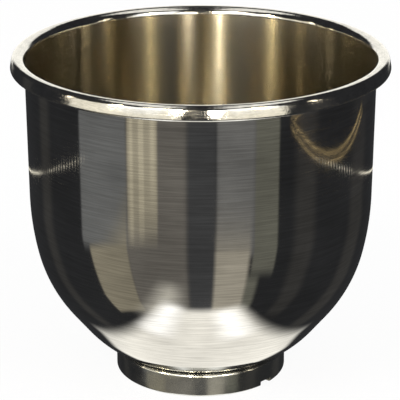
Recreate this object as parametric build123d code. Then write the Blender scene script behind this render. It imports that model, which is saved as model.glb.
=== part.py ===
from build123d import *
import os
from dataclasses import dataclass
from math import asin, cos, degrees, radians, sin, tan

# Mixer bowl: one drawn and spun sheet with a rolled rim, standing on a stamped twist-lock foot ring
# that is welded under it. Millimetres. The origin is on the axis at ground level and +Z points up
# along the axis. Sections are drawn as (radius, height), and angles are in degrees.

# Bowl shell
RIM_DIAMETER = 220.0        # over the rolled rim, at its widest
BOWL_HEIGHT = 196.0         # from the ground to the crest of the rim
BOWL_SHEET = 0.8            # thickness of the drawn sheet
FOOT_HEIGHT = 11.2          # from the ground to the flat underside of the bowl
WALL_DRAFT = 0.74           # the upper wall leans out by this much as it rises

# Bends of the wall, as radii of the inside face, from the straight wall down to the flat bottom
UPPER_RADIUS = 162.0
UPPER_ANGLE = 12.2
BODY_RADIUS = 83.6
BODY_ANGLE = 26.1
CONE_LENGTH = 14.3          # straight stretch between the body bend and the toe bend
TOE_RADIUS = 66.4
TOE_ANGLE = 23.9
BASE_RADIUS = 30.0          # last bend, which runs out into the flat bottom

# Rolled rim: the inside face of the wall turns out over the crest and becomes the outside of the roll
ROLL_THROAT_RADIUS = 4.8    # from the wall up to the crest
ROLL_CREST_RADIUS = 3.4     # from the crest to the flank
ROLL_FLANK = 4.1            # straight outer flank
ROLL_FLANK_LEAN = 11.0      # the flank leans out by this much as it goes down
ROLL_HEEL_RADIUS = 1.4      # tight bend from the flank to the underside
ROLL_TUCK = 20.0            # the free edge turns up by this much under the roll
ROLL_GAP = 0.3              # between the free edge and the wall

# Foot ring
RING_DIAMETER = 101.6
RING_SHEET = 1.0
RING_HEEL_INSIDE = 0.3      # inside radius of the bend at the ground
RING_SHOULDER_INSIDE = 0.7  # inside radius of the bend under the bowl
LIP_WIDTH = 4.0             # inward lip on the ground, from the outside of the ring
FLANGE_WIDTH = 10.0         # weld flange that follows the underside, from the outside of the ring
SEAT_GAP = 0.3              # between the flange and the bowl

# Twist-lock notches through the lip and the foot of the ring
NOTCH_COUNT = 2
NOTCH_AZIMUTH = 49.8        # of the first notch, from the front (-Y) towards +X
NOTCH_WIDTH = 9.2
NOTCH_HEIGHT = 3.0
NOTCH_CORNER = 0.7          # radius of the notch's two upper corners
CUT_MARGIN = 2.0            # a cutter stands out of the sheet by this much

# Sizes that follow from the ones above
RIM_RADIUS = RIM_DIAMETER / 2
RING_RADIUS = RING_DIAMETER / 2
CONE_SLOPE = 90 - WALL_DRAFT - UPPER_ANGLE - BODY_ANGLE    # slopes are counted from level
BASE_SLOPE = CONE_SLOPE - TOE_ANGLE


@dataclass
class Straight:
    """A straight stretch of sheet."""

    length: float


@dataclass
class Bend:
    """A bend of the sheet; its radius is that of the drawn face, and a left turn is positive."""

    radius: float
    turn: float


@dataclass
class Point:
    """A point of a section."""

    radius: float
    height: float

    def moved(self, distance, heading):
        """The point that lies this far away in this direction."""
        outward = distance * cos(radians(heading))
        upward = distance * sin(radians(heading))
        return Point(self.radius + outward, self.height + upward)

    def pair(self):
        """The point as a pair of numbers."""
        return (self.radius, self.height)


@dataclass
class SheetPath:
    """The line that one face of a bent sheet follows; the sheet lies on its left."""

    start: Point
    heading: float
    steps: list

    def trace(self, offset):
        """Edges of the line that runs beside the path, moved to the left by the offset."""
        here = self.start
        heading = self.heading
        edges = []
        for step in self.steps:
            if isinstance(step, Straight):
                there = here.moved(step.length, heading)
                first = here.moved(offset, heading + 90)
                last = there.moved(offset, heading + 90)
                edges.append(Edge.make_line(first.pair(), last.pair()))
                here = there
                continue
            side = 1 if step.turn > 0 else -1
            centre = here.moved(step.radius, heading + 90 * side)
            radius = step.radius - offset * side
            spoke = heading - 90 * side
            edges.append(CenterArc(centre.pair(), radius, spoke, step.turn).edge())
            heading += step.turn
            here = centre.moved(step.radius, heading - 90 * side)
        return edges

    def section(self, thickness):
        """The closed section of the sheet."""
        near = self.trace(0)
        far = self.trace(thickness)
        first_end = Edge.make_line(near[0] @ 0, far[0] @ 0)
        last_end = Edge.make_line(near[-1] @ 1, far[-1] @ 1)
        return Face(Wire([first_end, *near, last_end, *far]))


def spun(section):
    """Turns a section about the axis."""
    return revolve(Plane.XZ * section, Axis.Z, 360)


def roll_heel_centre():
    """Centre of the rim roll's lower bend, which reaches the rim's full diameter."""
    lean = radians(ROLL_FLANK_LEAN)
    drop = ROLL_CREST_RADIUS + ROLL_FLANK * cos(lean) + (ROLL_HEEL_RADIUS - ROLL_CREST_RADIUS) * sin(lean)
    return Point(RIM_RADIUS - ROLL_HEEL_RADIUS, BOWL_HEIGHT - drop)


def roll_throat():
    """Point at which the inside face of the wall starts to turn out into the roll."""
    flank_heading = 90 + ROLL_FLANK_LEAN
    flank_foot = roll_heel_centre().moved(ROLL_HEEL_RADIUS, flank_heading - 90)
    flank_top = flank_foot.moved(ROLL_FLANK, flank_heading)
    crest_centre = flank_top.moved(ROLL_CREST_RADIUS, flank_heading + 90)
    throat_centre = Point(crest_centre.radius, BOWL_HEIGHT - ROLL_THROAT_RADIUS)
    return throat_centre.moved(ROLL_THROAT_RADIUS, 180 - WALL_DRAFT)


def wall_outside(height):
    """Radius of the outside of the straight upper wall at a height."""
    throat = roll_throat()
    lean = tan(radians(WALL_DRAFT))
    return throat.radius - (throat.height - height) * lean + BOWL_SHEET / cos(radians(WALL_DRAFT))


def wall_bends():
    """Bends and cone from the straight wall to the flat bottom, walked downwards."""
    return [
        Bend(UPPER_RADIUS, -UPPER_ANGLE),
        Bend(BODY_RADIUS, -BODY_ANGLE),
        Straight(CONE_LENGTH),
        Bend(TOE_RADIUS, -TOE_ANGLE),
        Bend(BASE_RADIUS, -BASE_SLOPE),
    ]


def bends_reach():
    """How far the wall's bends come in and down between the straight wall and the flat bottom."""
    inward = 0.0
    down = 0.0
    slope = 90 - WALL_DRAFT
    for step in wall_bends():
        if isinstance(step, Straight):
            inward += step.length * cos(radians(slope))
            down += step.length * sin(radians(slope))
            continue
        steep = radians(slope)
        slope += step.turn
        flat = radians(slope)
        inward += step.radius * (sin(steep) - sin(flat))
        down += step.radius * (cos(flat) - cos(steep))
    return inward, down


def straight_wall_length():
    """Length of the straight upper wall, which takes up what the bends leave of the height."""
    down = bends_reach()[1]
    height = roll_throat().height - down - FOOT_HEIGHT - BOWL_SHEET
    return height / cos(radians(WALL_DRAFT))


def flat_bottom_radius():
    """Radius of the flat bottom, which takes up what the bends leave of the width."""
    inward = bends_reach()[0]
    return roll_throat().radius - straight_wall_length() * sin(radians(WALL_DRAFT)) - inward


def free_edge_length():
    """Length of the tucked stretch between the roll's lower bend and its free edge."""
    heel = roll_heel_centre().moved(ROLL_HEEL_RADIUS, -90 - ROLL_TUCK)
    free = heel.radius - wall_outside(heel.height) - ROLL_GAP
    return free / cos(radians(ROLL_TUCK))


def bowl_path():
    """Face of the sheet from the roll's free edge over the rim and down the inside to the axis."""
    heel = roll_heel_centre().moved(ROLL_HEEL_RADIUS, -90 - ROLL_TUCK)
    start = heel.moved(free_edge_length(), 180 - ROLL_TUCK)
    steps = [
        Straight(free_edge_length()),
        Bend(ROLL_HEEL_RADIUS, ROLL_TUCK + 90 + ROLL_FLANK_LEAN),
        Straight(ROLL_FLANK),
        Bend(ROLL_CREST_RADIUS, 90 - ROLL_FLANK_LEAN),
        Bend(ROLL_THROAT_RADIUS, 90 - WALL_DRAFT),
        Straight(straight_wall_length()),
        *wall_bends(),
        Straight(flat_bottom_radius()),
    ]
    return SheetPath(start, -ROLL_TUCK, steps)


def bowl_shell():
    """The bowl, from its rolled rim to its flat bottom, as one sheet."""
    return spun(bowl_path().section(BOWL_SHEET))


@dataclass
class UndersideBend:
    """A bend of the bowl's outside, with the slopes from level that it covers."""

    centre: Point
    radius: float
    low_slope: float
    high_slope: float

    def slope_at(self, radius, gap):
        """Slope of the line that runs below this bend by a gap, at a radius from the axis."""
        share = (radius - self.centre.radius) / (self.radius + gap)
        return degrees(asin(max(-1.0, min(1.0, share))))


def underside_bends():
    """The base bend and the toe bend of the bowl's outside, from the bottom up."""
    base_height = FOOT_HEIGHT + BOWL_SHEET + BASE_RADIUS
    base_centre = Point(flat_bottom_radius(), base_height)
    toe_centre = base_centre.moved(TOE_RADIUS - BASE_RADIUS, 90 + BASE_SLOPE)
    return [
        UndersideBend(base_centre, BASE_RADIUS + BOWL_SHEET, 0.0, BASE_SLOPE),
        UndersideBend(toe_centre, TOE_RADIUS + BOWL_SHEET, BASE_SLOPE, CONE_SLOPE),
    ]


def ring_shoulder():
    """The bend that the ring's shoulder comes up to, the slope there and the shoulder's height."""
    shoulder_radius = RING_SHOULDER_INSIDE + RING_SHEET
    reach = SEAT_GAP + shoulder_radius
    for bend in underside_bends():
        slope = max(0.0, bend.slope_at(RING_RADIUS - shoulder_radius, reach))
        height = bend.centre.height - (bend.radius + reach) * cos(radians(slope))
        if slope <= bend.high_slope:
            break
    return bend, slope, height


def flange_steps():
    """Steps of the weld flange, which follows the bowl's underside inwards at the seat gap."""
    inner_radius = RING_RADIUS - FLANGE_WIDTH
    first, slope, _ = ring_shoulder()
    steps = []
    for bend in reversed(underside_bends()):
        if bend.low_slope >= first.high_slope:
            continue
        end = max(bend.low_slope, bend.slope_at(inner_radius, SEAT_GAP))
        if slope > end:
            steps.append(Bend(bend.radius + SEAT_GAP, end - slope))
            slope = end
    flat = flat_bottom_radius() - inner_radius
    if slope == 0 and flat > 0:
        steps.append(Straight(flat))
    return steps


def ring_path():
    """Outer face of the foot ring, from the lip on the ground up to the end of the weld flange."""
    heel_radius = RING_HEEL_INSIDE + RING_SHEET
    shoulder_radius = RING_SHOULDER_INSIDE + RING_SHEET
    slope, shoulder_height = ring_shoulder()[1:]
    steps = [
        Straight(LIP_WIDTH - heel_radius),
        Bend(heel_radius, 90),
        Straight(shoulder_height - heel_radius),
        Bend(shoulder_radius, 90 + slope),
        *flange_steps(),
    ]
    return SheetPath(Point(RING_RADIUS - LIP_WIDTH, 0), 0, steps)


def notch_cutter(azimuth):
    """Cutter for one notch, through the lip and the foot of the ring, open at the ground."""
    depth = LIP_WIDTH + 2 * CUT_MARGIN
    height = NOTCH_HEIGHT + CUT_MARGIN
    middle = Vector(0, RING_RADIUS - LIP_WIDTH / 2, NOTCH_HEIGHT - height / 2)
    cutter = Pos(middle) * Box(NOTCH_WIDTH, depth, height)
    corners = cutter.edges().filter_by(Axis.Y).sort_by(Axis.Z)[-2:]
    cutter = fillet(corners, NOTCH_CORNER)
    return Rot(0, 0, 180 + azimuth) * cutter


def base_ring():
    """The foot ring, with its lip, shoulder, weld flange and twist-lock notches."""
    ring = spun(ring_path().section(RING_SHEET))
    for index in range(NOTCH_COUNT):
        ring -= notch_cutter(NOTCH_AZIMUTH + index * 360 / NOTCH_COUNT)
    return ring


os.makedirs("parts", exist_ok=True)
for name, shape in (("bowl_shell", bowl_shell()), ("base_ring", base_ring())):
    export_step(shape, f"parts/{name}.step")
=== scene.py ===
"""Mixer bowl of spun steel on a stamped foot ring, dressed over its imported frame.

Metres. The bowl's axis is Z and the ground is at zero. The camera stands in front, towards -Y.
A section is a line of (radius, height) points that follows both faces of a bent sheet. A
Geometry Nodes tree spins it about the axis, and the steel finishes read the way round and along
the sheet.
"""

import logging
from dataclasses import dataclass, field
from enum import Enum
from math import asin, ceil, cos, pi, radians, sin, tan
from typing import ClassVar, Iterable, Optional, Union

import bmesh
import bpy
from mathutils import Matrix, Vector

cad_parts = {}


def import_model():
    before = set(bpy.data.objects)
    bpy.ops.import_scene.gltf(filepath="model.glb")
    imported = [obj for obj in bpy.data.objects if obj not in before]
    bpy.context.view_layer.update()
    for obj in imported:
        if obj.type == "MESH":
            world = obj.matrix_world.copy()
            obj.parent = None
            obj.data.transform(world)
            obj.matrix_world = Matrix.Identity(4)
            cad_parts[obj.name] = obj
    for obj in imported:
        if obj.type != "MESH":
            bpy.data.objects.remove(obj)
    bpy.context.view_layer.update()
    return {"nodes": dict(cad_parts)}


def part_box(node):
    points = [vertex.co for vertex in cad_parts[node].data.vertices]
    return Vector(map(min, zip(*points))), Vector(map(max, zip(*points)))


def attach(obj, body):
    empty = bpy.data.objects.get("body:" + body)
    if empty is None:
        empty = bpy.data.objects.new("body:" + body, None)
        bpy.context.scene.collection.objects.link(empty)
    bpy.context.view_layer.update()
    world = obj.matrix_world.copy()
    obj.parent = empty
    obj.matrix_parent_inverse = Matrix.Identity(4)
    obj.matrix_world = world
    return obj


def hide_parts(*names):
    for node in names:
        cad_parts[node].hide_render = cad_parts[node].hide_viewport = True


Pair = tuple[float, float]
Triple = tuple[float, float, float]
Feeds = dict[Union[str, int], object]
Material = bpy.types.Material
Socket = bpy.types.NodeSocket

LOG = logging.getLogger("mixer_bowl")
MM = 0.001
FULL_TURN = 2 * pi
# The radius at which the way round the axis is measured for the patterns of the steel.
REFERENCE_RADIUS = 0.1
# The attributes that the meshes carry: the way along the sheet, and how much a card covers.
ALONG = "along"
COVER = "cover"
UV_MAP = "UVMap"
INTEGER_MATHS = "FunctionNodeIntegerMath"


class Zone(Enum):
    """Stretches of a sheet that are finished in different ways."""

    INSIDE = "inside"
    RIM = "rim"
    OUTSIDE = "outside"


@dataclass(frozen=True)
class SectionPoint:
    """A point of a section: its distance from the axis and its height."""

    radius: float
    height: float

    def moved(self, distance: float, heading: float) -> "SectionPoint":
        """Finds the point that lies a distance away.

        Args:
            distance: how far to go, in metres.
            heading: the direction in degrees, where 0 is outwards and 90 is up.

        Returns:
            The point that is reached.
        """
        outward = distance * cos(radians(heading))
        upward = distance * sin(radians(heading))
        return SectionPoint(self.radius + outward, self.height + upward)


@dataclass(frozen=True)
class Straight:
    """A straight stretch of sheet."""

    length: float


@dataclass(frozen=True)
class Bend:
    """A bend, with the radius of the drawn face; a left turn is positive, in degrees."""

    radius: float
    turn: float


Step = Union[Straight, Bend]


@dataclass
class SheetPath:
    """The line that one face of a bent sheet follows; the sheet lies on its left."""

    start: SectionPoint
    heading: float
    steps: list[Step]
    longest_straight: float = 10 * MM
    longest_arc: float = 1.6 * MM
    widest_turn: float = 9.0
    narrowest_turn: float = 1.1
    fewest_turns: int = 3

    def _pieces(self, step: Step, radius: float) -> int:
        """Counts the short lengths that a step is divided into.

        Args:
            step: the step of the path.
            radius: the radius of the traced face, where the step is a bend.

        Returns:
            The number of lengths, at least one.
        """
        if isinstance(step, Straight):
            return max(1, ceil(step.length / self.longest_straight))
        turn = abs(step.turn)
        by_turn = ceil(turn / self.widest_turn)
        by_length = ceil(radius * radians(turn) / self.longest_arc)
        by_length = min(by_length, ceil(turn / self.narrowest_turn))
        return max(self.fewest_turns, by_turn, by_length)

    def trace(self, offset: float) -> list[SectionPoint]:
        """Follows the line that runs beside the path.

        Args:
            offset: how far the line is moved to the left.

        Returns:
            The points of that line, from the start of the path to its end.
        """
        here = self.start
        heading = self.heading
        points = [here.moved(offset, heading + 90)]
        for step in self.steps:
            if isinstance(step, Straight):
                count = self._pieces(step, 0.0)
                for index in range(1, count + 1):
                    place = here.moved(step.length * index / count, heading)
                    points.append(place.moved(offset, heading + 90))
                here = here.moved(step.length, heading)
                continue
            side = 1 if step.turn > 0 else -1
            centre = here.moved(step.radius, heading + 90 * side)
            radius = step.radius - offset * side
            spoke = heading - 90 * side
            count = self._pieces(step, radius)
            for index in range(1, count + 1):
                points.append(centre.moved(radius, spoke + step.turn * index / count))
            heading += step.turn
            here = centre.moved(step.radius, heading - 90 * side)
        return points

    def length_to(self, count: int) -> float:
        """Measures the path.

        Args:
            count: how many of its steps are measured.

        Returns:
            The length of those steps along the drawn face, in metres.
        """
        total = 0.0
        for step in self.steps[:count]:
            bent = isinstance(step, Bend)
            total += step.radius * radians(abs(step.turn)) if bent else step.length
        return total


def add_object(name: str, data: bpy.types.ID) -> bpy.types.Object:
    """Adds an object to the scene.

    Args:
        name: its name.
        data: its mesh, light or camera.

    Returns:
        The object, at the origin.
    """
    added = bpy.data.objects.new(name, data)
    bpy.context.scene.collection.objects.link(added)
    return added


class NodeTree:
    """A thin helper that places nodes in a tree and feeds their sockets."""

    ROW_LENGTH = 12
    SPACING = (220, -260)

    def __init__(self, tree: bpy.types.NodeTree, emptied: bool = False) -> None:
        """Keeps the tree.

        Args:
            tree: the tree that the nodes go into.
            emptied: whether the nodes that it starts with are taken out.
        """
        self.tree = tree
        if emptied:
            tree.nodes.clear()

    @classmethod
    def for_geometry(cls, name: str, inputs: dict[str, str], output: str) -> "NodeTree":
        """Makes a new Geometry Nodes tree.

        Args:
            name: the tree's name.
            inputs: the kind of each named input.
            output: the name of the geometry that the tree gives back.

        Returns:
            The tree, with its named inputs and its output.
        """
        group = bpy.data.node_groups.new(name, "GeometryNodeTree")
        for label, kind in inputs.items():
            group.interface.new_socket(label, in_out="INPUT", socket_type=f"NodeSocket{kind}")
        group.interface.new_socket(output, in_out="OUTPUT", socket_type="NodeSocketGeometry")
        return cls(group)

    def add(self, kind: str, feeds: Optional[Feeds] = None, **settings: object) -> bpy.types.Node:
        """Adds a node.

        Args:
            kind: the node's type name.
            feeds: what its inputs get, by their names or places.
            **settings: properties that are set on the node before its inputs are fed.

        Returns:
            The new node.
        """
        line, place = divmod(len(self.tree.nodes), self.ROW_LENGTH)
        node = self.tree.nodes.new(kind)
        node.location = (self.SPACING[0] * place, self.SPACING[1] * line)
        for name, value in settings.items():
            setattr(node, name, value)
        self.feed(node, feeds or {})
        return node

    def feed(self, node: bpy.types.Node, feeds: Feeds) -> None:
        """Feeds a node's inputs.

        Args:
            node: the node.
            feeds: for each input, a plain value, an output socket, or a node, which stands for
                its first output.
        """
        for key, value in feeds.items():
            if isinstance(value, bpy.types.Node):
                value = value.outputs[0]
            if isinstance(value, Socket):
                self.tree.links.new(value, node.inputs[key])
            else:
                node.inputs[key].default_value = value

    def maths(self, operation: str, *values: object, kind: str = "ShaderNodeMath") -> Socket:
        """Adds a sum, product or other arithmetic on sockets or numbers, in the node's order."""
        return self.add(kind, dict(enumerate(values)), operation=operation).outputs[0]

    def mix(self, first: object, second: object, share: float) -> Socket:
        """Adds up two values, of which the second makes up the given share."""
        return self.maths("MULTIPLY_ADD", second, share, self.maths("MULTIPLY", first, 1 - share))

    def vector(self, *parts: object) -> Socket:
        """Joins three numbers or sockets into a vector."""
        return self.add("ShaderNodeCombineXYZ", dict(enumerate(parts))).outputs[0]

    def split(self, vector: object) -> bpy.types.bpy_prop_collection:
        """Finds the sockets of a vector's three parts."""
        return self.add("ShaderNodeSeparateXYZ", {0: vector}).outputs

    def noise(self, place: Socket, detail: float, scale: float = 1.0) -> Socket:
        """Adds a soft pattern from 0 to 1, so many times finer than its coordinates."""
        feeds = {"Vector": place, "Scale": scale, "Detail": detail}
        return self.add("ShaderNodeTexNoise", feeds, noise_dimensions="3D").outputs["Fac"]

    def stretch(self, value: Socket, low: float, high: float) -> Socket:
        """Maps the range between two readings onto 0 to 1, and holds it at its ends."""
        feeds = {"Value": value, "From Min": low, "From Max": high}
        return self.add("ShaderNodeMapRange", feeds).outputs["Result"]

    def surface(self, share: Socket, first: bpy.types.Node, second: bpy.types.Node) -> None:
        """Ends a material with two shaders, of which the second has the given share."""
        mixed = self.add("ShaderNodeMixShader", {0: share, 1: first, 2: second})
        self.add("ShaderNodeOutputMaterial", {"Surface": mixed})


@dataclass(frozen=True)
class SteelFinish:
    """A steel surface, with what its polishing and brushing left behind."""

    # The turn of the Principled shader's highlight that lays it across the brushed lines.
    ACROSS_LINES: ClassVar[float] = 0.25
    # How many finer layers each pattern has.
    LINE_DETAIL: ClassVar[float] = 3.0
    FINE_DETAIL: ClassVar[float] = 2.0
    SMUDGE_DETAIL: ClassVar[float] = 4.0
    RIPPLE_DETAIL: ClassVar[float] = 2.0
    SCRATCH_DETAIL: ClassVar[float] = 1.0
    # How many times narrower and shorter the fine lines are.
    FINER: ClassVar[tuple[int, int]] = (3, 2)
    # What the fine lines and the smudges make up, and the readings the patterns lie between.
    FINE_SHARE: ClassVar[float] = 0.4
    WORN_SHARE: ClassVar[float] = 0.5
    GRAIN_RANGE: ClassVar[Pair] = (0.38, 0.62)
    WORN_RANGE: ClassVar[Pair] = (0.35, 0.7)
    SCRATCH_SIZE: ClassVar[Pair] = (0.6 * MM, 50 * MM)
    SCRATCH_RANGE: ClassVar[Pair] = (0.5, 0.56)

    name: str
    tint: Triple
    deep_tint: Triple
    roughness: float
    roughness_spread: float
    anisotropy: float
    line_width: float
    line_length: float
    line_depth: float
    smudge_size: float
    ripple_size: float
    ripple_depth: float
    scratch_share: float = 0.0

    @staticmethod
    def _place(tree: NodeTree, width: float, length: float) -> Socket:
        """Makes the coordinates of a pattern that is drawn out round the axis and has no seam.

        Args:
            tree: the material's nodes.
            width: the size of the pattern across the lines, along the sheet.
            length: the size of the pattern along the lines, round the axis.

        Returns:
            The coordinates' socket.
        """
        here = tree.split(tree.add("ShaderNodeTexCoord").outputs["Object"])
        flat = tree.vector(here["X"], here["Y"], 0.0)
        outward = tree.add("ShaderNodeVectorMath", {0: flat}, operation="NORMALIZE")
        feeds = {0: outward, "Scale": REFERENCE_RADIUS / length}
        around = tree.split(tree.add("ShaderNodeVectorMath", feeds, operation="SCALE"))
        sheet = tree.split(tree.add("ShaderNodeUVMap", uv_map=UV_MAP))
        return tree.vector(around["X"], around["Y"], tree.maths("DIVIDE", sheet["Y"], width))

    def build(self) -> Material:
        """Makes the material.

        Returns:
            The finished steel.
        """
        material = bpy.data.materials.new(self.name)
        material.use_nodes = True
        tree = NodeTree(material.node_tree)

        width, length = self.line_width, self.line_length
        lines = tree.noise(self._place(tree, width, length), self.LINE_DETAIL)
        place = self._place(tree, width / self.FINER[0], length / self.FINER[1])
        fine = tree.noise(place, self.FINE_DETAIL)
        bare = tree.add("ShaderNodeTexCoord").outputs["Object"]
        smudges = tree.noise(bare, self.SMUDGE_DETAIL, 1 / self.smudge_size)
        ripples = tree.noise(bare, self.RIPPLE_DETAIL, 1 / self.ripple_size)

        grain = tree.mix(lines, fine, self.FINE_SHARE)
        tone = tree.stretch(grain, *self.GRAIN_RANGE)
        worn = tree.stretch(smudges, *self.WORN_RANGE)
        tints = {
            "Factor": tree.mix(tone, worn, self.WORN_SHARE),
            "A": (*self.deep_tint, 1.0),
            "B": (*self.tint, 1.0),
        }
        colour = tree.add("ShaderNodeMix", tints, data_type="RGBA").outputs["Result"]

        half_spread = self.roughness_spread / 2
        rough = tree.maths("MULTIPLY_ADD", tone, -half_spread, self.roughness)
        rough = tree.maths("MULTIPLY_ADD", worn, half_spread, rough)
        if self.scratch_share > 0:
            marks = tree.noise(self._place(tree, *self.SCRATCH_SIZE), self.SCRATCH_DETAIL)
            low, high = (edge + self.scratch_share for edge in self.SCRATCH_RANGE)
            marks = tree.stretch(marks, low, high)
            rough = tree.maths("MULTIPLY_ADD", marks, self.roughness_spread, rough)

        relief = {"Strength": 1.0, "Distance": self.ripple_depth, "Height": ripples}
        rippled = tree.add("ShaderNodeBump", relief)
        relief = {"Strength": 1.0, "Distance": self.line_depth, "Height": grain}
        brushed = tree.add("ShaderNodeBump", {**relief, "Normal": rippled})
        tangent = tree.add("ShaderNodeTangent", direction_type="UV_MAP", uv_map=UV_MAP)
        tree.feed(
            material.node_tree.nodes["Principled BSDF"],
            {
                "Metallic": 1.0,
                "Anisotropic": self.anisotropy,
                "Anisotropic Rotation": self.ACROSS_LINES,
                "Base Color": colour,
                "Roughness": rough,
                "Normal": brushed,
                "Tangent": tangent,
            },
        )
        return material


def plain_piece(
    carrier: bpy.types.Object,
    tree: bpy.types.NodeTree,
    inputs: dict[str, object],
    name: str,
    crease: float = 35.0,
) -> bpy.types.Object:
    """Runs a Geometry Nodes tree on a carrier and makes a plain mesh that faces outwards.

    Args:
        carrier: the object that the tree starts from, which is removed.
        tree: the tree.
        inputs: what each of the tree's named inputs gets.
        name: the new piece's name.
        crease: the angle in degrees past which an edge stays sharp.

    Returns:
        The new piece, at the origin.
    """
    modifier = carrier.modifiers.new(tree.name, "NODES")
    modifier.node_group = tree
    for item in tree.interface.items_tree:
        if item.item_type == "SOCKET" and item.in_out == "INPUT" and item.name in inputs:
            modifier[item.identifier] = inputs[item.name]
    evaluated = carrier.evaluated_get(bpy.context.evaluated_depsgraph_get())
    mesh = bpy.data.meshes.new_from_object(evaluated)
    mesh.name = name
    shell = bmesh.new()
    shell.from_mesh(mesh)
    bmesh.ops.recalc_face_normals(shell, faces=shell.faces)
    for edge in shell.edges:
        if len(edge.link_faces) == 2:
            edge.smooth = edge.calc_face_angle(0.0) < radians(crease)
    for one_face in shell.faces:
        one_face.smooth = True
    shell.to_mesh(mesh)
    shell.free()
    carrier.modifiers.clear()
    bpy.data.objects.remove(carrier)
    return add_object(name, mesh)


@dataclass
class SpunSheet:
    """Spins a section about the axis with a Geometry Nodes tree and dresses its stretches."""

    name: str
    section: list[SectionPoint]
    segments: int
    inside_to: float
    outside_from: float
    finishes: dict[Zone, Material]
    seam: float = 0.002 * MM

    def _section_object(self) -> bpy.types.Object:
        """Makes the object that carries the section.

        Returns:
            An object whose points are the section's, each with its distance along the sheet.
        """
        mesh = bpy.data.meshes.new(f"{self.name}_section")
        places = [(point.radius, 0.0, point.height) for point in self.section]
        links = [(index, index + 1) for index in range(len(places) - 1)]
        mesh.from_pydata(places, links, [])
        travelled = 0.0
        along = mesh.attributes.new(ALONG, "FLOAT", "POINT")
        for index, place in enumerate(places):
            if index:
                travelled += (Vector(place) - Vector(places[index - 1])).length
            along.data[index].value = travelled
        return add_object(mesh.name, mesh)

    def _tree(self) -> bpy.types.NodeTree:
        """Builds the tree that spins a section.

        Returns:
            The tree, with inputs for the segments, the stretches and their finishes.
        """
        inputs = {"Section": "Geometry", "Segments": "Int"}
        inputs.update(dict.fromkeys(("Reference radius", "Inside to", "Outside from"), "Float"))
        inputs.update({f"{zone.value.title()} finish": "Material" for zone in Zone})
        tree = NodeTree.for_geometry(f"{self.name}_spin", inputs, "Sheet")
        given = tree.add("NodeGroupInput").outputs
        section = given["Section"]

        rows = tree.add("GeometryNodeAttributeDomainSize", {0: section}, component="MESH")
        columns = tree.maths("ADD", given["Segments"], 1, kind=INTEGER_MATHS)
        counts = {"Vertices X": rows.outputs["Point Count"], "Vertices Y": columns}
        grid = tree.add("GeometryNodeMeshGrid", counts)
        index = tree.add("GeometryNodeInputIndex")
        row = tree.maths("DIVIDE_FLOOR", index, columns, kind=INTEGER_MATHS)
        column = tree.maths("MODULO", index, columns, kind=INTEGER_MATHS)

        named = tree.add("GeometryNodeInputNamedAttribute", {"Name": ALONG}, data_type="FLOAT")
        travelled = named.outputs["Attribute"]
        position = tree.add("GeometryNodeInputPosition")
        place, along = (
            tree.add(
                "GeometryNodeSampleIndex",
                {"Geometry": section, "Value": value, "Index": row},
                data_type=kind,
                domain="POINT",
            )
            for kind, value in (("FLOAT_VECTOR", position), ("FLOAT", travelled))
        )

        share = tree.maths("DIVIDE", column, given["Segments"])
        azimuth = tree.maths("MULTIPLY", share, FULL_TURN)
        parts = tree.split(place)
        outward = tree.maths("MULTIPLY", parts["X"], -1.0)
        sideways = tree.maths("MULTIPLY", outward, tree.maths("SINE", azimuth))
        backward = tree.maths("MULTIPLY", parts["X"], tree.maths("COSINE", azimuth))
        spun = {"Geometry": grid, "Position": tree.vector(sideways, backward, parts["Z"])}
        sheet = tree.add("GeometryNodeSetPosition", spun)

        around = tree.maths("MULTIPLY", azimuth, given["Reference radius"])
        unrolled = tree.add(
            "GeometryNodeFieldOnDomain",
            {0: tree.vector(around, along, 0.0)},
            data_type="FLOAT_VECTOR",
            domain="POINT",
        )
        for name, kind, domain, value in (
            (UV_MAP, "FLOAT2", "CORNER", unrolled),
            (ALONG, "FLOAT", "POINT", along),
        ):
            sheet = tree.add(
                "GeometryNodeStoreNamedAttribute",
                {"Geometry": sheet, "Name": name, "Value": value},
                data_type=kind,
                domain=domain,
            )
        seam = {"Geometry": sheet, "Distance": self.seam}
        sheet = tree.add("GeometryNodeMergeByDistance", seam)
        sheet = tree.add("GeometryNodeSetShadeSmooth", {"Geometry": sheet})
        sheet = tree.add("GeometryNodeRealizeInstances", {"Geometry": sheet})

        for finish, where in (
            ("Rim finish", True),
            ("Inside finish", tree.maths("LESS_THAN", travelled, given["Inside to"])),
            ("Outside finish", tree.maths("GREATER_THAN", travelled, given["Outside from"])),
        ):
            dress = {"Geometry": sheet, "Selection": where, "Material": given[finish]}
            sheet = tree.add("GeometryNodeSetMaterial", dress)
        tree.add("NodeGroupOutput", {0: sheet})
        return tree.tree

    def build(self) -> bpy.types.Object:
        """Spins the section into a closed mesh.

        Returns:
            The sheet, as a plain mesh at the origin.
        """
        inputs = {
            "Segments": self.segments,
            "Reference radius": REFERENCE_RADIUS,
            "Inside to": self.inside_to,
            "Outside from": self.outside_from,
        }
        inputs.update({f"{zone.value.title()} finish": self.finishes[zone] for zone in Zone})
        return plain_piece(self._section_object(), self._tree(), inputs, self.name)


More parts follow.
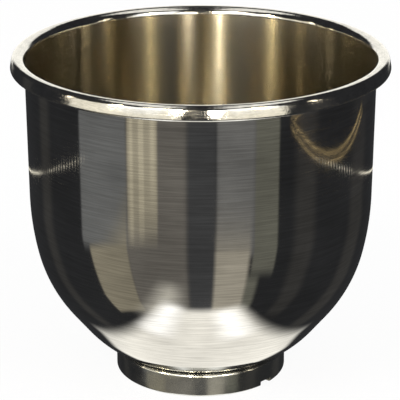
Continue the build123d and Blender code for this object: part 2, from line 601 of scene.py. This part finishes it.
@dataclass
class BowlShell:
    """The drawn and spun bowl, with its rolled rim."""

    # How many steps of the path make up the roll, and how many the outside finish leaves out.
    ROLL_STEPS: ClassVar[int] = 5
    RIM_STEPS: ClassVar[int] = 4

    rim_diameter: float
    height: float
    foot_height: float = 11.2 * MM
    sheet: float = 0.8 * MM
    wall_draft: float = 0.74
    upper_bend: Bend = Bend(162 * MM, -12.2)
    body_bend: Bend = Bend(83.6 * MM, -26.1)
    cone: Straight = Straight(14.3 * MM)
    toe_bend: Bend = Bend(66.4 * MM, -23.9)
    base_radius: float = 30 * MM
    throat_radius: float = 4.8 * MM
    crest_radius: float = 3.4 * MM
    flank: float = 4.1 * MM
    flank_lean: float = 11.0
    heel_radius: float = 1.4 * MM
    tuck: float = 20.0
    roll_gap: float = 0.3 * MM
    segments: int = 400

    def heel_centre(self) -> SectionPoint:
        """Finds the centre of the roll's lower bend, which reaches the rim's full diameter.

        Returns:
            The centre.
        """
        lean = radians(self.flank_lean)
        bends = self.crest_radius + (self.heel_radius - self.crest_radius) * sin(lean)
        drop = bends + self.flank * cos(lean)
        return SectionPoint(self.rim_diameter / 2 - self.heel_radius, self.height - drop)

    def throat(self) -> SectionPoint:
        """Finds the point at which the inside of the wall starts to turn out into the roll.

        Returns:
            The point, on the inside face.
        """
        heading = 90 + self.flank_lean
        foot = self.heel_centre().moved(self.heel_radius, heading - 90)
        crest_centre = foot.moved(self.flank, heading).moved(self.crest_radius, heading + 90)
        centre = SectionPoint(crest_centre.radius, self.height - self.throat_radius)
        return centre.moved(self.throat_radius, 180 - self.wall_draft)

    def wall_outside(self, height: float) -> float:
        """Finds the radius of the outside of the straight wall.

        Args:
            height: the height at which it is measured.

        Returns:
            The radius.
        """
        throat = self.throat()
        lean = radians(self.wall_draft)
        return throat.radius - (throat.height - height) * tan(lean) + self.sheet / cos(lean)

    def base_slope(self) -> float:
        """Finds the slope that is left for the last bend, in degrees from level."""
        turned = self.upper_bend.turn + self.body_bend.turn + self.toe_bend.turn
        return 90 - self.wall_draft + turned

    def bends(self) -> list[Step]:
        """Lists the wall's bends, from the straight wall down to the flat bottom."""
        base_bend = Bend(self.base_radius, -self.base_slope())
        return [self.upper_bend, self.body_bend, self.cone, self.toe_bend, base_bend]

    def path(self) -> SheetPath:
        """Follows the inside face, from the roll's free edge over the rim and down to the axis.

        Returns:
            The path, with the sheet on its left.
        """
        throat = self.throat()
        lean = radians(self.wall_draft)
        probe = SheetPath(SectionPoint(0.0, 0.0), -90 - self.wall_draft, self.bends())
        reach = probe.trace(0.0)[-1]
        wall = (throat.height + reach.height - self.foot_height - self.sheet) / cos(lean)
        flat = throat.radius - wall * sin(lean) + reach.radius
        heel = self.heel_centre().moved(self.heel_radius, -90 - self.tuck)
        room = heel.radius - self.wall_outside(heel.height) - self.roll_gap
        free_edge = room / cos(radians(self.tuck))
        steps: list[Step] = [
            Straight(free_edge),
            Bend(self.heel_radius, self.tuck + 90 + self.flank_lean),
            Straight(self.flank),
            Bend(self.crest_radius, 90 - self.flank_lean),
            Bend(self.throat_radius, 90 - self.wall_draft),
            Straight(wall),
            *self.bends(),
            Straight(flat),
        ]
        return SheetPath(heel.moved(free_edge, 180 - self.tuck), -self.tuck, steps)

    def build(self, finishes: dict[Zone, Material]) -> bpy.types.Object:
        """Spins and dresses the bowl.

        Args:
            finishes: the finish of each stretch of the sheet.

        Returns:
            The bowl, as one piece.
        """
        path = self.path()
        inside = list(reversed(path.trace(0.0)))
        outside = path.trace(self.sheet)
        inside[0] = SectionPoint(0.0, inside[0].height)
        outside[-1] = SectionPoint(0.0, outside[-1].height)
        total = path.length_to(len(path.steps))
        sheet = SpunSheet(
            name="bowl",
            section=inside + outside,
            segments=self.segments,
            inside_to=total - path.length_to(self.ROLL_STEPS),
            outside_from=total + path.length_to(self.RIM_STEPS),
            finishes=finishes,
        )
        return sheet.build()


@dataclass
class FootRing:
    """The stamped ring under the bowl, with an inward lip and twist-lock notches."""

    bowl: BowlShell
    diameter: float
    sheet: float = 1.0 * MM
    heel_radius: float = 1.3 * MM
    shoulder_radius: float = 1.7 * MM
    lip: float = 4.0 * MM
    flange: float = 10.0 * MM
    seat_gap: float = 0.3 * MM
    notch_count: int = 2
    notch_azimuth: float = 49.8
    notch_width: float = 9.2 * MM
    notch_height: float = 3.0 * MM
    notch_corner: float = 0.7 * MM
    notch_margin: float = 2 * MM
    corner_steps: int = 6
    longest_straight: float = 3 * MM
    longest_arc: float = 0.5 * MM
    widest_turn: float = 10.0
    segments: int = 360

    def base_bend_centre(self) -> SectionPoint:
        """Finds the centre of the bowl's base bend, which the flange lies against."""
        flat = self.bowl.path().steps[-1].length
        return SectionPoint(flat, self.bowl.foot_height + self.bowl.sheet + self.bowl.base_radius)

    def path(self) -> SheetPath:
        """Follows the outer face, from the lip on the ground up to the end of the weld flange.

        Returns:
            The path, with the sheet on its left.
        """
        base_centre = self.base_bend_centre()
        slope = self.bowl.base_slope()
        outside = self.bowl.base_radius + self.bowl.sheet
        shoulder_reach = self.seat_gap + self.shoulder_radius
        seat = self.diameter / 2 - self.shoulder_radius
        bend_centre, bend_radius = base_centre, outside
        angle = asin((seat - bend_centre.radius) / (bend_radius + shoulder_reach))
        on_toe = angle > radians(slope)
        if on_toe:
            toe = self.bowl.toe_bend.radius
            bend_centre = base_centre.moved(toe - self.bowl.base_radius, 90 + slope)
            bend_radius = toe + self.bowl.sheet
            angle = asin((seat - bend_centre.radius) / (bend_radius + shoulder_reach))
        lean = angle * 180 / pi
        shoulder_height = bend_centre.height - (bend_radius + shoulder_reach) * cos(angle)
        flange_steps: list[Step] = []
        if on_toe:
            flange_steps.append(Bend(bend_radius + self.seat_gap, slope - lean))
        inner = self.diameter / 2 - self.flange
        end = asin((inner - base_centre.radius) / (outside + self.seat_gap)) * 180 / pi
        flange_steps.append(Bend(outside + self.seat_gap, end - min(lean, slope)))
        steps: list[Step] = [
            Straight(self.lip - self.heel_radius),
            Bend(self.heel_radius, 90),
            Straight(shoulder_height - self.heel_radius),
            Bend(self.shoulder_radius, 90 + lean),
            *flange_steps,
        ]
        start = SectionPoint(self.diameter / 2 - self.lip, 0.0)
        lengths = (self.longest_straight, self.longest_arc, self.widest_turn)
        return SheetPath(start, 0.0, steps, *lengths)

    def _notch_tool(self) -> bpy.types.Object:
        """Makes the tool that cuts one notch, set at the front of the ring.

        Returns:
            A closed block with two round upper corners, open to the ground.
        """
        margin = self.notch_margin
        near = -(self.diameter / 2 + margin)
        far = near + self.lip + 2 * margin
        half = self.notch_width / 2
        centre = half - self.notch_corner
        spring = self.notch_height - self.notch_corner
        outline = [(-half, -margin), (half, -margin)]
        for side in (1, -1):
            for index in range(self.corner_steps + 1):
                turn = pi / 2 * index / self.corner_steps
                turn = turn if side > 0 else pi / 2 - turn
                across = side * (centre + self.notch_corner * cos(turn))
                outline.append((across, spring + self.notch_corner * sin(turn)))
        tool = bmesh.new()
        front, back = ([tool.verts.new((x, y, z)) for x, z in outline] for y in (near, far))
        tool.faces.new(front)
        tool.faces.new(list(reversed(back)))
        for index in range(len(outline)):
            after = (index + 1) % len(outline)
            tool.faces.new([front[index], back[index], back[after], front[after]])
        bmesh.ops.recalc_face_normals(tool, faces=tool.faces)
        mesh = bpy.data.meshes.new("notch_tool")
        tool.to_mesh(mesh)
        tool.free()
        return add_object("notch_tool", mesh)

    def _notch_tree(self) -> bpy.types.NodeTree:
        """Builds the tree that repeats the notch tool round the ring and cuts with it.

        Returns:
            The tree, with inputs for the tool, the count and the first azimuth.
        """
        inputs = {"Ring": "Geometry", "Tool": "Object", "Count": "Int"}
        inputs.update({"First azimuth": "Float", "Finish": "Material"})
        tree = NodeTree.for_geometry("ring_notches", inputs, "Ring")
        given = tree.add("NodeGroupInput").outputs
        places = tree.add("GeometryNodePoints", {"Count": given["Count"]})
        tool = tree.add("GeometryNodeObjectInfo", {"Object": given["Tool"]}).outputs["Geometry"]
        share = tree.maths("DIVIDE", tree.add("GeometryNodeInputIndex"), given["Count"])
        turn = tree.maths("MULTIPLY_ADD", share, FULL_TURN, given["First azimuth"])
        spread = {"Points": places, "Instance": tool, "Rotation": tree.vector(0.0, 0.0, turn)}
        tools = tree.add("GeometryNodeInstanceOnPoints", spread)
        solid = tree.add("GeometryNodeRealizeInstances", {"Geometry": tools})
        cut = tree.add(
            "GeometryNodeMeshBoolean",
            {"Mesh 1": given["Ring"], "Mesh 2": solid},
            operation="DIFFERENCE",
            solver="EXACT",
        )
        whole = tree.add("GeometryNodeRealizeInstances", {"Geometry": cut})
        dress = {"Geometry": whole, "Material": given["Finish"]}
        tree.add("NodeGroupOutput", {0: tree.add("GeometryNodeSetMaterial", dress)})
        return tree.tree

    def build(self, finish: Material) -> bpy.types.Object:
        """Spins the ring, cuts its notches and dresses it.

        Args:
            finish: the ring's finish.

        Returns:
            The ring, as one piece.
        """
        path = self.path()
        outer = path.trace(0.0)
        inner = list(reversed(path.trace(self.sheet)))
        length = path.length_to(len(path.steps))
        blank = SpunSheet(
            name="foot_blank",
            section=outer + inner + outer[:1],
            segments=self.segments,
            inside_to=length,
            outside_from=length,
            finishes={zone: finish for zone in Zone},
        ).build()
        tool = self._notch_tool()
        inputs = {
            "Tool": tool,
            "Count": self.notch_count,
            "First azimuth": radians(self.notch_azimuth),
            "Finish": finish,
        }
        ring = plain_piece(blank, self._notch_tree(), inputs, "foot_ring")
        bpy.data.objects.remove(tool)
        return ring


class Tone(Enum):
    """How bright each piece of the studio looks, as linear red, green and blue."""

    BLACK = (0.03, 0.031, 0.033)
    SHADE = (0.055, 0.054, 0.052)
    COAL = (0.075, 0.077, 0.08)
    SLATE = (0.19, 0.195, 0.195)
    ASH = (0.21, 0.21, 0.205)
    UMBER = (0.2, 0.188, 0.168)
    SAND = (0.48, 0.445, 0.365)
    CREAM = (0.5, 0.455, 0.34)
    STRAW = (0.68, 0.62, 0.46)
    TAN = (0.33, 0.3, 0.225)
    OLIVE = (0.18, 0.18, 0.148)
    GOLD = (1.0, 0.74, 0.34)
    IVORY = (1.3, 1.22, 1.0)
    PAPER = (1.35, 1.32, 1.21)
    LAMP = (2.0, 2.0, 1.95)
    CHALK = (0.8, 0.77, 0.67)
    FLAX = (8.5, 7.8, 6.2)
    EMBER = (8.0, 7.0, 5.2)
    HONEY = (29.0, 26.5, 21.5)
    AMBER = (116.0, 98.0, 56.0)
    GLOW = (225.0, 204.0, 152.0)


@dataclass(frozen=True)
class StudioPiece:
    """A grid of faces whose edges fade out, and which only reflections show.

    Its two ranges, its feather and its cells are in the units that its kind lays them out in.
    """

    CELL: ClassVar[float] = 1.5
    FEWEST: ClassVar[tuple[int, int]] = (10, 8)
    DASH: ClassVar[int] = 2

    name: str
    tone: Tone
    across: Pair
    up: Pair
    feather: Pair
    level: float
    slope: float = 0.0
    dashed: bool = False

    def _place(self, across: float, up: float) -> Vector:
        """Finds the point at a place in the first range and a share of the second."""
        raise NotImplementedError

    @staticmethod
    def _cover(share: float, fade: float) -> float:
        """Finds how much of a point is covered, from its share of a range and the fading share."""
        edge = min(1.0, min(share, 1 - share) / fade) if fade > 0 else 1.0
        return edge * edge * (3 - 2 * edge)

    def build(self, paints: dict[Tone, Material]) -> bpy.types.Object:
        """Makes the piece.

        Args:
            paints: the material of each tone, which reads how much each point is covered.

        Returns:
            The piece, hidden from camera, diffuse, shadow and transmission rays.
        """
        width, height = (abs(high - low) for low, high in (self.across, self.up))
        columns = max(self.FEWEST[0], ceil(width / self.CELL))
        rows = max(self.FEWEST[1], ceil(height / self.CELL))
        shares = [(x / columns, y / rows) for y in range(rows + 1) for x in range(columns + 1)]
        start, end = self.across
        places = [self._place(start + (end - start) * x, y) for x, y in shares]
        fades = (self.feather[0] / width, self.feather[1] / height)
        cover = [self._cover(x, fades[0]) * self._cover(y, fades[1]) for x, y in shares]
        faces = []
        for row in range(rows):
            for column in range(0, columns, self.DASH if self.dashed else 1):
                low = row * (columns + 1) + column
                high = low + columns + 1
                faces.append((low, low + 1, high + 1, high))
        mesh = bpy.data.meshes.new(self.name)
        mesh.from_pydata(places, [], faces)
        mesh.attributes.new(COVER, "FLOAT", "POINT").data.foreach_set("value", cover)
        mesh.materials.append(paints[self.tone])
        card = add_object(self.name, mesh)
        for rays in ("camera", "diffuse", "shadow", "transmission"):
            setattr(card, f"visible_{rays}", False)
        return card


@dataclass(frozen=True)
class StudioCard(StudioPiece):
    """A curved card round the bowl, given by the directions it covers, in degrees.

    Its level is how far away it stands, and its slope lowers the top towards its first side.
    """

    def _place(self, across: float, up: float) -> Vector:
        """Finds a point of the card.

        Args:
            across: the point's azimuth.
            up: its share of the height.

        Returns:
            The point.
        """
        start, end = self.across
        turn = radians(across)
        top = self.up[1] - self.slope * (end - across) / (end - start)
        lean = radians(self.up[0] + (top - self.up[0]) * up)
        reach = self.level * cos(lean)
        return Vector((reach * sin(turn), -reach * cos(turn), self.level * sin(lean)))


@dataclass(frozen=True)
class StudioBoard(StudioPiece):
    """A flat board, given in plan, in metres. Its level is its height."""

    CELL: ClassVar[float] = 0.03
    FEWEST: ClassVar[tuple[int, int]] = (6, 6)

    def _place(self, across: float, up: float) -> Vector:
        """Finds the point at a distance across and a share of the length."""
        return Vector((across, self.up[0] + (self.up[1] - self.up[0]) * up, self.level))


@dataclass(frozen=True)
class StudioHoop(StudioPiece):
    """A thin line on the stand, part of a circle, given by its azimuths and its two radii."""

    CELL: ClassVar[float] = 1.3
    FEWEST: ClassVar[tuple[int, int]] = (8, 4)
    CENTRE: ClassVar[float] = -0.11

    def _place(self, across: float, up: float) -> Vector:
        """Finds a point of the line.

        Args:
            across: the point's azimuth.
            up: its share of the width.

        Returns:
            The point.
        """
        reach = self.up[0] + (self.up[1] - self.up[0]) * up
        turn = radians(across)
        return Vector((reach * sin(turn), self.CENTRE - reach * cos(turn), self.level))


@dataclass
class Studio:
    """The pale floor, the soft lamps, what the steel mirrors, and the camera."""

    camera_place: Triple = (-0.00039, -1.13707, 0.51481)
    camera_pitch: float = 19.84
    focal_length: float = 183.52
    nearest: float = 0.05
    floor_size: float = 8.0
    floor_tint: Triple = (0.9, 0.9, 0.9)
    floor_glow: float = 0.92
    lamp_size: float = 1.2
    lamps: tuple[tuple[str, Triple, float], ...] = (
        ("lamp_key", (-1.4, -1.6, 2.0), 26.0),
        ("lamp_fill", (1.5, -1.4, 1.8), 20.0),
    )
    pieces: list[StudioPiece] = field(
        default_factory=lambda: [
            StudioCard("card_slate", Tone.SLATE, (-85, -48), (-25, -9), (1.2, 5), 3.0),
            StudioCard("card_cream", Tone.CREAM, (-48.5, -27), (-20.6, -12.8), (1.2, 2.5), 2.98),
            StudioCard("stripe_one", Tone.STRAW, (-47, -43), (-20.4, -12.8), (1.6, 2.5), 2.97),
            StudioCard("stripe_two", Tone.STRAW, (-40.5, -36), (-20.2, -12.8), (1, 2.5), 2.97),
            StudioCard("stripe_three", Tone.STRAW, (-33.5, -28), (-18.8, -12.8), (2.4, 2.5), 2.97),
            StudioCard("card_umber", Tone.UMBER, (-52, -7), (-52, -12.8), (4, 4), 3.02),
            StudioCard("card_tan", Tone.TAN, (-80, -48.5), (-53, -17.2), (1.2, 2.8), 2.96, 4.5),
            StudioCard("card_coal", Tone.COAL, (-12, 13), (-56, -2), (5, 5), 3.04),
            StudioCard("card_ash", Tone.ASH, (9.5, 36), (-26, -9), (2, 5), 3.0),
            StudioCard("card_sand", Tone.SAND, (8, 34), (-56, -18.5), (3, 3), 2.98),
            StudioCard("card_olive", Tone.OLIVE, (34, 52), (-34, -9), (1.2, 6), 3.02),
            StudioCard("card_moss", Tone.OLIVE, (30, 43), (-54, -30), (4, 5), 3.01),
            StudioCard("shade_right", Tone.SHADE, (60, 84), (-60, 20), (8, 10), 3.04),
            StudioCard("shade_left", Tone.SHADE, (-132, -112), (-60, 20), (8, 10), 3.04),
            StudioCard("shade_far", Tone.SHADE, (112, 140), (-60, -10), (9, 10), 3.04),
            StudioCard("panel_left", Tone.IVORY, (-81, -11), (-9, 26), (1.2, 4), 3.0, 6.0),
            StudioCard("lamp_left", Tone.LAMP, (-62, -15.5), (4, 53), (14, 14), 2.98, 20.0),
            StudioCard("panel_right", Tone.IVORY, (9, 50.5), (-9, 22), (1.2, 4), 3.0),
            StudioCard("lamp_right", Tone.LAMP, (15, 50), (6, 53), (4, 14), 2.98),
            StudioCard("crest_left", Tone.PAPER, (-168, -18), (60, 82), (10, 4), 2.99),
            StudioCard("crest_right", Tone.PAPER, (16, 168), (60, 82), (10, 4), 2.99),
            StudioCard("strip_one", Tone.EMBER, (68, 71.5), (8, 32), (1.2, 6), 2.9),
            StudioCard("strip_two", Tone.AMBER, (34.5, 38), (16, 45), (1.2, 6), 2.9),
            StudioCard("strip_three", Tone.HONEY, (4, 12.8), (6, 30), (3.6, 6), 2.9),
            StudioCard("strip_four", Tone.GLOW, (-14.6, -11.2), (11, 38), (1.2, 6), 2.9),
            StudioCard("strip_haze", Tone.FLAX, (-38, -17), (24, 50), (7, 8), 2.92),
            StudioCard("strip_five", Tone.AMBER, (-53, -49.5), (12, 38), (1.2, 6), 2.9),
            StudioCard("strip_six", Tone.EMBER, (-84, -81), (4, 28), (1.2, 6), 2.9),
            StudioCard("back_paper", Tone.PAPER, (159, 201), (-8, 22), (5, 4), 3.0),
            StudioCard("back_band", Tone.PAPER, (148, 212), (-9, 41), (9, 3), 3.02),
            StudioBoard("board_paper", Tone.PAPER, (-0.66, 0.66), (-1, 1.06), (0.24, 0.24), -1.0),
            StudioBoard(
                "board_glow_left", Tone.CHALK, (-0.86, -0.16), (-1.5, -0.3), (0.4, 0.4), -0.985
            ),
            StudioBoard(
                "board_glint_left", Tone.LAMP, (-0.63, -0.14), (-1.05, 0), (0.24, 0.24), -0.97
            ),
            StudioBoard(
                "board_glint_right", Tone.LAMP, (0.06, 0.54), (-0.9, 0.04), (0.26, 0.26), -0.97
            ),
            StudioBoard("stand_edge", Tone.GOLD, (0.496, 0.5), (-0.36, 0.32), (0.001, 0.001), 0.0),
            StudioBoard("stand_rim", Tone.GOLD, (0.516, 0.521), (-0.36, 0.32), (0.001, 0.001), 0.0),
            *(
                StudioHoop(name, Tone.IVORY, azimuths, (0.494, 0.5), feather, 0.0, dashed=dashed)
                for name, azimuths, feather, dashed in (
                    ("hoop_left", (-128, -82), (11.5, 0.0018), True),
                    ("hoop_left_end", (-176, -122), (13.5, 0.0018), False),
                    ("hoop_right", (80, 128), (12.0, 0.0018), True),
                    ("hoop_right_end", (122, 176), (13.5, 0.0018), False),
                )
            ),
            StudioCard("ceiling", Tone.BLACK, (-180, 180), (62, 89.9), (0, 0), 3.4),
            StudioCard("flag_walls", Tone.BLACK, (-180, 180), (-72, 64), (0, 0), 3.4),
            StudioCard("flag_below", Tone.BLACK, (-180, 180), (-89.9, -70), (0, 0), 3.42),
        ]
    )

    def _paint(self, tone: Tone) -> Material:
        """Makes the plain material of a tone.

        Args:
            tone: the tone.

        Returns:
            A material that looks the same in any light, and is clear where nothing is covered.
        """
        material = bpy.data.materials.new(f"tone_{tone.name.lower()}")
        material.use_nodes = True
        tree = NodeTree(material.node_tree, emptied=True)
        glow = tree.add("ShaderNodeEmission", {"Color": (*tone.value, 1.0)})
        cover = tree.add("ShaderNodeAttribute", attribute_name=COVER).outputs["Fac"]
        tree.surface(cover, tree.add("ShaderNodeBsdfTransparent"), glow)
        return material

    def _floor(self) -> bpy.types.Object:
        """Makes the white floor, which keeps the object's shadow.

        Returns:
            The floor.
        """
        material = bpy.data.materials.new("floor_white")
        material.use_nodes = True
        tree = NodeTree(material.node_tree, emptied=True)
        rays = tree.add("ShaderNodeLightPath").outputs
        seen = tree.maths("MAXIMUM", rays["Is Camera Ray"], rays["Is Glossy Ray"])
        seen = tree.maths("MAXIMUM", seen, rays["Is Transmission Ray"])
        lit = tree.add("ShaderNodeBsdfDiffuse", {"Color": (*self.floor_tint, 1.0)})
        share = tree.maths("MULTIPLY", seen, self.floor_glow)
        tree.surface(share, lit, tree.add("ShaderNodeEmission"))
        half = self.floor_size / 2
        mesh = bpy.data.meshes.new("floor")
        corners = [(x * half, y * half, 0.0) for x, y in ((-1, -1), (1, -1), (1, 1), (-1, 1))]
        mesh.from_pydata(corners, [], [(0, 1, 2, 3)])
        mesh.materials.append(material)
        floor = add_object("floor", mesh)
        floor.visible_glossy = False
        return floor

    def _world(self) -> None:
        """Makes the white surroundings, which light the floor softly."""
        world = bpy.data.worlds.new("white_studio")
        bpy.context.scene.world = world
        world.use_nodes = True
        tree = NodeTree(world.node_tree, emptied=True)
        tree.add("ShaderNodeOutputWorld", {"Surface": tree.add("ShaderNodeBackground")})

    def _lamp(self, name: str, place: Triple, power: float) -> None:
        """Hangs a large soft lamp that looks at the bowl.

        Args:
            name: the lamp's name.
            place: where it hangs.
            power: its power in watts.
        """
        light = bpy.data.lights.new(name, "AREA")
        light.size = self.lamp_size
        light.energy = power
        lamp = add_object(name, light)
        lamp.location = place
        lamp.rotation_euler = (-Vector(place)).to_track_quat("-Z", "Y").to_euler()
        lamp.visible_glossy = False

    def _camera(self) -> None:
        """Sets the camera at the photograph's viewing angle."""
        data = bpy.data.cameras.new("camera")
        data.lens = self.focal_length
        data.clip_start = self.nearest
        camera = add_object("camera", data)
        camera.location = self.camera_place
        camera.rotation_euler = (radians(90 - self.camera_pitch), 0.0, 0.0)
        bpy.context.scene.camera = camera

    def build(self) -> None:
        """Sets up the whole studio."""
        self._floor()
        self._world()
        for lamp in self.lamps:
            self._lamp(*lamp)
        paints = {tone: self._paint(tone) for tone in Tone}
        for piece in self.pieces:
            piece.build(paints)
        self._camera()
        bpy.context.scene.view_settings.view_transform = "Standard"


OUTSIDE_STEEL = SteelFinish(
    name="steel_outside",
    tint=(0.74, 0.725, 0.7),
    deep_tint=(0.4, 0.39, 0.375),
    roughness=0.055,
    roughness_spread=0.06,
    anisotropy=0.4,
    line_width=0.8 * MM,
    line_length=30 * MM,
    line_depth=0.003 * MM,
    smudge_size=45 * MM,
    ripple_size=60 * MM,
    ripple_depth=0.03 * MM,
    scratch_share=0.14,
)
# The inside steel's tints are darker than the outside steel's on the same sheet, which paints shade
# into the bowl's inside. Its brushed lines, smudges, ripples and roughness are the steel's own.
SHADED_INSIDE_STEEL = SteelFinish(
    name="steel_inside",
    tint=(0.5, 0.464, 0.386),
    deep_tint=(0.39, 0.358, 0.295),
    roughness=0.19,
    roughness_spread=0.015,
    anisotropy=0.97,
    line_width=0.6 * MM,
    line_length=18 * MM,
    line_depth=0.004 * MM,
    smudge_size=50 * MM,
    ripple_size=60 * MM,
    ripple_depth=0.005 * MM,
)
RIM_STEEL = SteelFinish(
    name="steel_rim",
    tint=(0.68, 0.67, 0.65),
    deep_tint=(0.48, 0.475, 0.465),
    roughness=0.1,
    roughness_spread=0.09,
    anisotropy=0.4,
    line_width=0.7 * MM,
    line_length=3.5 * MM,
    line_depth=0.03 * MM,
    smudge_size=6 * MM,
    ripple_size=3 * MM,
    ripple_depth=0.06 * MM,
    scratch_share=0.1,
)
FOOT_STEEL = SteelFinish(
    name="steel_foot",
    tint=(0.64, 0.645, 0.62),
    deep_tint=(0.45, 0.455, 0.445),
    roughness=0.2,
    roughness_spread=0.08,
    anisotropy=0.4,
    line_width=0.8 * MM,
    line_length=9 * MM,
    line_depth=0.012 * MM,
    smudge_size=14 * MM,
    ripple_size=12 * MM,
    ripple_depth=0.04 * MM,
)


def main() -> None:
    """Builds the bowl, its ring and the studio, and reports each piece."""
    logging.basicConfig(level=logging.INFO, format="%(name)s: %(message)s")
    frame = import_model()
    LOG.info("the frame holds %d nodes", len(frame["nodes"]))
    low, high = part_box("bowl_shell")
    ring_low, ring_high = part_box("base_ring")

    outside, inside, rim, foot = (
        finish.build() for finish in (OUTSIDE_STEEL, SHADED_INSIDE_STEEL, RIM_STEEL, FOOT_STEEL)
    )
    shell = BowlShell(rim_diameter=high.x - low.x, height=high.z)
    bowl = shell.build({Zone.INSIDE: inside, Zone.RIM: rim, Zone.OUTSIDE: outside})
    ring = FootRing(bowl=shell, diameter=ring_high.x - ring_low.x).build(foot)
    for piece, node, slot in (
        (bowl, "bowl_shell", "bowl_steel"),
        (ring, "base_ring", "ring_steel"),
    ):
        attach(piece, "root")
        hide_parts(node)
        LOG.info("%s stands for %s with %d faces", piece.name, node, len(piece.data.polygons))

    Studio().build()


if __name__ == "__main__":
    main()
